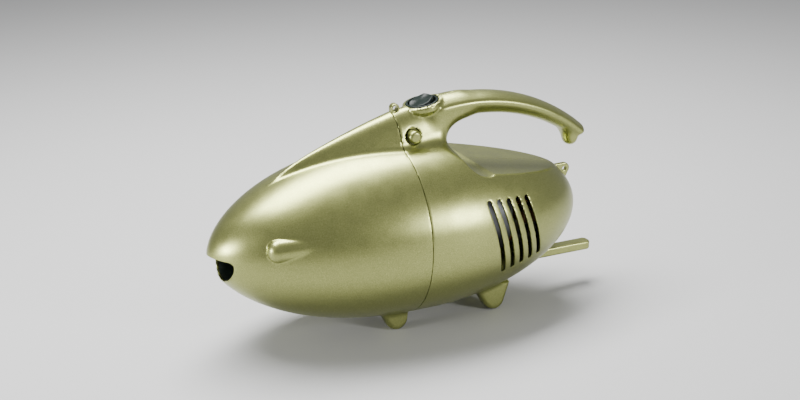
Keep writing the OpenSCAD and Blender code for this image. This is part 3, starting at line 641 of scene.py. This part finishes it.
def rocker_field(p):
    """Round rocker with a hollow on each half, a rounded crest and its rear end up."""
    u, v, w = switch_frame(p)
    c, n = math.cos(ROCKER_TILT), math.sin(ROCKER_TILT)
    a, b = c * u + n * (w + 3), -n * u + c * (w + 3)
    top = 0.93 * (b - 4.6 - 0.020 * a * a)
    for dish_a, dish_b in ((-6.0, 20.6), (6.2, 20.9)):
        dish = ROCKER_DISH_R - np.sqrt((a - dish_a) ** 2 + (1.1 * v) ** 2 + (b - dish_b) ** 2)
        top = smax(top, dish, 0.8)
    d = smax(top, np.hypot(a, v) - ROCKER_R, 1.6)
    under = np.maximum(-b - 5, 0.9 * (0.45 * np.abs(a) - b - 6))
    d = np.maximum(d, under)
    return np.maximum(d, 1.25 - np.hypot(a, b))


def switch_body_field(p):
    """Switch can, drawn in where the handle's root is narrow, with a thin domed flange."""
    u, v, w = switch_frame(p)
    r = np.hypot(u, v)
    outer = smin(smin(housing_form(p), grip(p), 9.0), switch_boss(p), 1.5)
    flange = smax(smax(r - SWITCH_R, w - 0.75 + 0.10 * np.maximum(r - 12, 0), 0.7), -1.2 - w, 0.3)
    can = np.maximum(r - SWITCH_CAN_R, slab(w, -16, -1))
    can = np.where(w > -3, can, np.maximum(can, outer + 2.0))
    d = np.minimum(flange, can)
    return smax(d, -np.maximum(r - SWITCH_BORE_R, slab(w, -12, 9)), 0.6)


def button_field(p):
    """Release button: a stem with a broad chamfer, and a rim that keeps it in."""
    r = np.hypot(p[:, 0] - BUTTON_X, p[:, 2] - BUTTON_Z)
    stem = smax(r - BUTTON_STEM_R, slab(p[:, 1], BUTTON_FACE_Y, -9), 0.8)
    chamfer = 0.72 * (r - BUTTON_FACE_R + 0.95 * (BUTTON_FACE_Y - p[:, 1]))
    stem = smax(stem, chamfer, 0.9)
    rim = np.maximum(r - BUTTON_RIM_R, slab(p[:, 1], -10.5, -8.5))
    return np.minimum(stem, rim)


def tail_bar_field(p):
    """Flat bar with round corners, and a gusset on top where it leaves the body."""
    x, y, z = p[:, 0], np.abs(p[:, 1]), p[:, 2]
    corner = np.hypot(np.maximum(x - BAR_CORNER_X, 0), np.maximum(y - BAR_CORNER_Y, 0)) - BAR_CORNER_R
    outline = np.maximum(corner, BAR_X0 - x)
    d = smax(outline, slab(z, BAR_Z0, BAR_Z1), 1.8)
    gusset = smax(smax(0.8 * (z - 45 + 0.62 * (x - 112)), y - 1.6, 0.8), slab(x, 112, 132), 0.8)
    gusset = np.maximum(gusset, 34 - z)
    return smin(d, gusset, 1.5)


def front_lug_field(p):
    """Strap eye that stands on the ridge, just behind the joint."""
    x, y, z = p[:, 0], np.abs(p[:, 1]), p[:, 2]
    eye = (FRONT_EYE_X, 0, FRONT_EYE_Z)
    plate = segment(p * np.array([1, 0, 1]), eye, (-15.6, 0, 176), 3.75)
    d = smax(np.maximum(plate, 180 - z), y - 2.9, 1.2)
    return smax(d, FRONT_EYE_R - np.hypot(x - FRONT_EYE_X, z - FRONT_EYE_Z), 0.7)


def rear_lug_field(p):
    """Flat strap eye on the tail, on two short arms."""
    x, y, z = p[:, 0], np.abs(p[:, 1]), p[:, 2]
    flat = p * np.array([1, 0, 1])
    eye = (REAR_EYE_X, 0, REAR_EYE_Z)
    plate = np.minimum(segment(flat, eye, (141, 0, 110.4), 5.3),
                       segment(flat, eye, (145.6, 0, 102.5), 5.3))
    plate = np.maximum(plate, 128 - x)
    d = smax(plate, y - 1.9, 1.0)
    return smax(d, REAR_EYE_R - np.hypot(x - REAR_EYE_X, z - REAR_EYE_Z), 0.6)


def make_small_pieces():
    size = 0.4
    finish(mesh_field("rocker", rocker_field, (-6.5, -14.2, 168), (25, 14.2, 199), size),
           "switch_rocker", "black_plastic", "switch_rocker")
    finish(mesh_field("switch_can", switch_body_field, (-9, -14.5, 166), (27, 14.5, 194), size),
           "housing", "black_plastic", "switch_body")
    finish(mesh_field("button", button_field, (-15.5, -22.5, 156.5), (3, -8, 175), size),
           "release_button", "gold_shell", "release_button")
    finish(mesh_field("cord_bar", tail_bar_field, (102, -6.5, 28.5), (182, 6.5, 46), size),
           "housing", "gold_shell", "tail_bar")
    finish(mesh_field("strap_eye_front", front_lug_field, (-20.5, -3.5, 179.5), (-11, 3.5, 191), size),
           "housing", "gold_shell", "front_strap_lug")
    finish(mesh_field("strap_eye_rear", rear_lug_field, (127, -2.5, 96), (156, 2.5, 117), size),
           "housing", "gold_shell", "rear_strap_lug")


def bag_radius(t):
    """Radius and x of the filter bag's outline, for t from 0 at its closed end to 1 at its rim."""
    x = lerp(BAG_END_X, SEAM_X + 3.0, np.maximum(t - 0.05, 0) / 0.95)
    end = lerp(0.0, BAG_END_R, np.clip(t / BAG_END_T, 0, 1) ** 0.8)
    radius = end + BAG_TAPER * np.clip((t - BAG_END_T) / (1 - BAG_END_T), 0, 1)
    return radius, x


def make_filter_bag():
    """Cloth bag drawn over the cage: soft puckers at its closed end, a hem and a sewn seam."""
    around, rows = 240, 90
    angle = np.linspace(0, 2 * math.pi, around, endpoint=False)
    t = np.linspace(0, 1, rows)
    radius, x = bag_radius(t)
    ribs = np.maximum(0, np.cos(6 * angle)) ** 2
    sag = -1.5 * np.outer(np.sin(np.clip((t - 0.12) / 0.8, 0, 1) * math.pi), 1 - ribs)
    pucker = np.outer(0.55 * np.exp(-((t - 0.08) / 0.07) ** 2),
                      np.sin(26 * angle + 1.3 * np.sin(5 * angle)))
    ripple = np.outer(0.28 * np.exp(-((t - 0.93) / 0.05) ** 2), np.sin(34 * angle))
    seam_line = 0.5 * np.exp(-(((angle - 4.4) / 0.02) ** 2))
    folds = (pucker + ripple) * np.minimum(1, radius / 20)[:, None]
    r = radius[:, None] + sag + folds + seam_line[None, :]
    # The first ring is nearly shut, so the cloth closes at its end
    r = (r + 1.0) * np.clip(t / 0.01, 0.02, 1)[:, None]
    x_all = np.broadcast_to(x[:, None], r.shape)
    points = np.stack([x_all, r * np.cos(angle), AXIS_Z + r * np.sin(angle)], -1).reshape(-1, 3)
    i, j = np.meshgrid(np.arange(rows - 1), np.arange(around), indexing="ij")
    a, b = i * around + j, i * around + (j + 1) % around
    quads = np.stack([a, b, b + around, a + around], -1).reshape(-1, 4)
    bag = make_object("filter_cloth_bag", points * MM, quads, 60)
    thick = bag.modifiers.new("thickness", "SOLIDIFY")
    thick.thickness = 0.0008
    thick.offset = -1
    hem = make_hem()
    finish(bag, "housing", "filter_cloth", "filter_bag")
    finish(hem, "housing", "filter_cloth")


def make_hem():
    """Rolled hem over the elastic at the bag's rim."""
    around, ring = 240, 12
    angle = np.linspace(0, 2 * math.pi, around, endpoint=False)
    turn = np.linspace(0, 2 * math.pi, ring, endpoint=False)
    major = HEM_MAJOR_R + 0.12 * np.sin(34 * angle)
    r = major[:, None] + HEM_MINOR_R * np.cos(turn)[None, :]
    x = np.broadcast_to(SEAM_X - 1.6 + 1.3 * np.sin(turn)[None, :], r.shape)
    y, z = r * np.cos(angle)[:, None], AXIS_Z + r * np.sin(angle)[:, None]
    points = np.stack([x, y, z], -1).reshape(-1, 3)
    i, j = np.meshgrid(np.arange(around), np.arange(ring), indexing="ij")
    a, b = i * ring + j, i * ring + (j + 1) % ring
    c, d = ((i + 1) % around) * ring + (j + 1) % ring, ((i + 1) % around) * ring + j
    return make_object("filter_bag_hem", points * MM, np.stack([a, d, c, b], -1).reshape(-1, 4), 60)


def make_shells():
    size = 1.1
    cup = mesh_field("cup_shell", dust_cup_field, (-180, -75, -0.5), (-15, 75, 187), size)
    finish(cup, "dust_cup", "gold_shell", "dust_cup")
    for side, name in ((-1, "left"), (1, "right")):
        low = (-23, -75 if side < 0 else -1, -0.5)
        high = (172, 1 if side < 0 else 75, 194)
        half = mesh_field("housing_shell_" + name, lambda p, s=side: housing_field(p, s), low, high, size)
        finish(half, "housing", "gold_shell", "housing_" + name)


def make_stage():
    """Matt grey floor just under the feet."""
    bpy.ops.mesh.primitive_plane_add(size=6, location=(0, 0, -0.0002))
    floor = bpy.context.object
    floor.name = "floor"
    mat, _, _, bsdf = new_material("floor")
    bsdf.inputs["Base Color"].default_value = (0.42, 0.42, 0.42, 1)
    bsdf.inputs["Roughness"].default_value = 0.6
    floor.data.materials.append(mat)


def area_light(name, place, target, size, power):
    data = bpy.data.lights.new(name, "AREA")
    data.shape = "RECTANGLE"
    data.size, data.size_y = size
    data.energy = power
    light = bpy.data.objects.new(name, data)
    light.location = place
    light.rotation_euler = (Vector(target) - Vector(place)).to_track_quat("-Z", "Y").to_euler()
    bpy.context.scene.collection.objects.link(light)


def make_lights():
    """Large light above and behind, with a small one off the nose and one off the tail."""
    world = bpy.data.worlds.new("studio")
    world.use_nodes = True
    world.node_tree.nodes["Background"].inputs["Color"].default_value = (0.93, 0.94, 0.95, 1)
    world.node_tree.nodes["Background"].inputs["Strength"].default_value = 0.42
    bpy.context.scene.world = world
    centre = (0, 0, 0.09)
    area_light("top_soft", (-0.10, 0.32, 1.10), centre, (1.2, 0.48), 52)
    area_light("left_soft", (-1.35, -0.02, 0.28), centre, (0.26, 0.26), 14)
    area_light("right_soft", (0.75, -1.15, 0.46), centre, (0.26, 0.34), 14)


def make_camera():
    """The photographer's view: a little above, from the nose's left front."""
    azimuth, elevation = math.radians(-25.32), math.radians(20.51)
    target = Vector((-10.8, 0, 105.7)) * MM
    distance = 1.0049
    back = Vector((math.sin(azimuth) * math.cos(elevation), -math.cos(azimuth) * math.cos(elevation),
                   math.sin(elevation)))
    data = bpy.data.cameras.new("camera")
    data.lens = 54.0
    data.sensor_width = 36
    camera = bpy.data.objects.new("camera", data)
    camera.location = target + back * distance
    camera.rotation_euler = (-back).to_track_quat("-Z", "Y").to_euler()
    bpy.context.scene.collection.objects.link(camera)
    bpy.context.scene.camera = camera


make_camera()
make_lights()
make_stage()
paint_cad_nodes()
make_shells()
make_small_pieces()
make_filter_bag()
